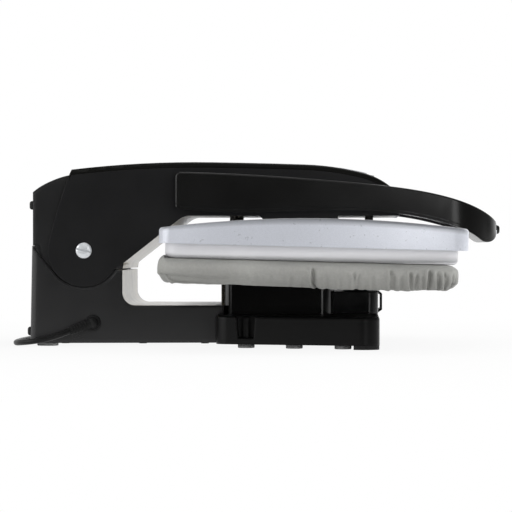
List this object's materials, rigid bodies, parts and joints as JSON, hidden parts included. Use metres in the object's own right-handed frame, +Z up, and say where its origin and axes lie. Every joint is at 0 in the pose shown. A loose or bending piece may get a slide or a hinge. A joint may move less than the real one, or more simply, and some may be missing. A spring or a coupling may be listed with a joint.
{
  "type": "steam press",
  "caption": "Closed tabletop ironing steam press: padded board on a low pedestal with a pull-out water tank, hinged arm with a long heated plate, and pull-down handle.",
  "frame": {"origin": "on the table, under the middle of the press without its cord", "axes": "+X from the rear hinge towards the user at the front, +Y along the heated plate towards its pointed nose, +Z up"},
  "size_m": [0.5024, 0.64, 0.1895],
  "materials": {
    "housing_black": "satin",
    "block_black": "gloss",
    "handle_black": "gloss",
    "liner_cream": "satin",
    "cover_silver": "fine metallic",
    "shoe_aluminium": "cast and polished",
    "pad_fabric": "metallised cotton",
    "board_plastic": "matt",
    "steel_zinc": "zinc plated",
    "chrome_bright": "bright",
    "foot_grey": "matt",
    "rubber_black": "matt",
    "tank_smoked": "smoked",
    "pump_plastic": "matt",
    "hose_clear": "silicone",
    "bush_white": "matt",
    "board_green": "satin",
    "panel_grey": "satin",
    "dial_silver": "satin",
    "lens_red": "clear",
    "cord_black": "matt",
    "pin_brass": "bare"
  },
  "bodies": {
    "base": {"base_housing": "housing_black", "base_liner": "liner_cream", "rear_cover": "housing_black", "bottom_plate": "steel_zinc", "hinge_frame": "steel_zinc", "hinge_axle": "steel_zinc", "pivot_screws": "chrome_bright", "lift_springs": "steel_zinc", "pump": "pump_plastic", "pump_saddle": "rubber_black", "water_hoses": "hose_clear", "housing_screws": "steel_zinc", "rear_bumpers": "foot_grey", "rear_feet": "foot_grey", "pedestal_tray": "housing_black", "tray_feet": "foot_grey", "corner_feet": "rubber_black", "pedestal_block": "block_black", "tank_valve": "rubber_black", "tank_runners": "housing_black", "board_core": "board_plastic", "board_pad": "pad_fabric", "cord_gland": "rubber_black", "power_cord": "cord_black", "cord_coil": "cord_black", "coil_tie": "rubber_black", "plug": "cord_black", "plug_pins": "pin_brass"},
    "arm": {"heating_plate": "shoe_aluminium", "chamber_lid": "steel_zinc", "heating_element": "steel_zinc", "thermostat": "bush_white", "thermal_fuse": "bush_white", "plate_cover": "cover_silver", "plate_hangers": "steel_zinc", "arm_shell": "housing_black", "arm_top_cover": "housing_black", "arm_liner": "liner_cream", "arm_frame": "steel_zinc", "hinge_bushes": "bush_white", "control_board": "board_green", "control_panel": "panel_grey", "lamp_lenses": "lens_red", "handle_pins": "steel_zinc"},
    "handle": {"handle_upper": "handle_black", "handle_lower": "handle_black", "button_ring": "chrome_bright"},
    "tank": {"water_tank": "tank_smoked", "tank_pull": "housing_black", "tank_stopper": "rubber_black"},
    "steam_button": {"steam_button": "handle_black"},
    "power_button": {"power_button": "dial_silver"},
    "steam_mode_button": {"steam_mode_button": "dial_silver"},
    "temperature_dial": {"temperature_dial": "dial_silver"}
  },
  "joints": [
    {"name": "arm_hinge", "type": "hinge", "parent": "base", "child": "arm", "pos_m": [-0.1845, 0, 0.0984], "axis": [0, -1, 0], "range_deg": [0, 40]},
    {"name": "handle_hinge", "type": "hinge", "parent": "arm", "child": "handle", "pos_m": [-0.068, 0, 0.1595], "axis": [0, -1, 0], "range_deg": [0, 20]},
    {"name": "tank_slide", "type": "slide", "parent": "base", "child": "tank", "axis": [1, 0, 0], "range_m": [0, 0.1]},
    {"name": "steam_button_press", "type": "slide", "parent": "handle", "child": "steam_button", "axis": [-1, 0, 0], "range_m": [0, 0.002], "stiffness_N_per_m": 400, "springref_m": -0.0008},
    {"name": "power_button_press", "type": "slide", "parent": "arm", "child": "power_button", "axis": [-0.2011, 0, -0.9796], "range_m": [0, 0.0012], "stiffness_N_per_m": 300, "springref_m": -0.0008},
    {"name": "steam_mode_press", "type": "slide", "parent": "arm", "child": "steam_mode_button", "axis": [-0.2011, 0, -0.9796], "range_m": [0, 0.0012], "stiffness_N_per_m": 300, "springref_m": -0.0008},
    {"name": "dial_turn", "type": "hinge", "parent": "arm", "child": "temperature_dial", "pos_m": [0.092, 0, 0.1806], "axis": [0.2011, 0, 0.9796], "range_deg": [0, 270]}
  ]
}
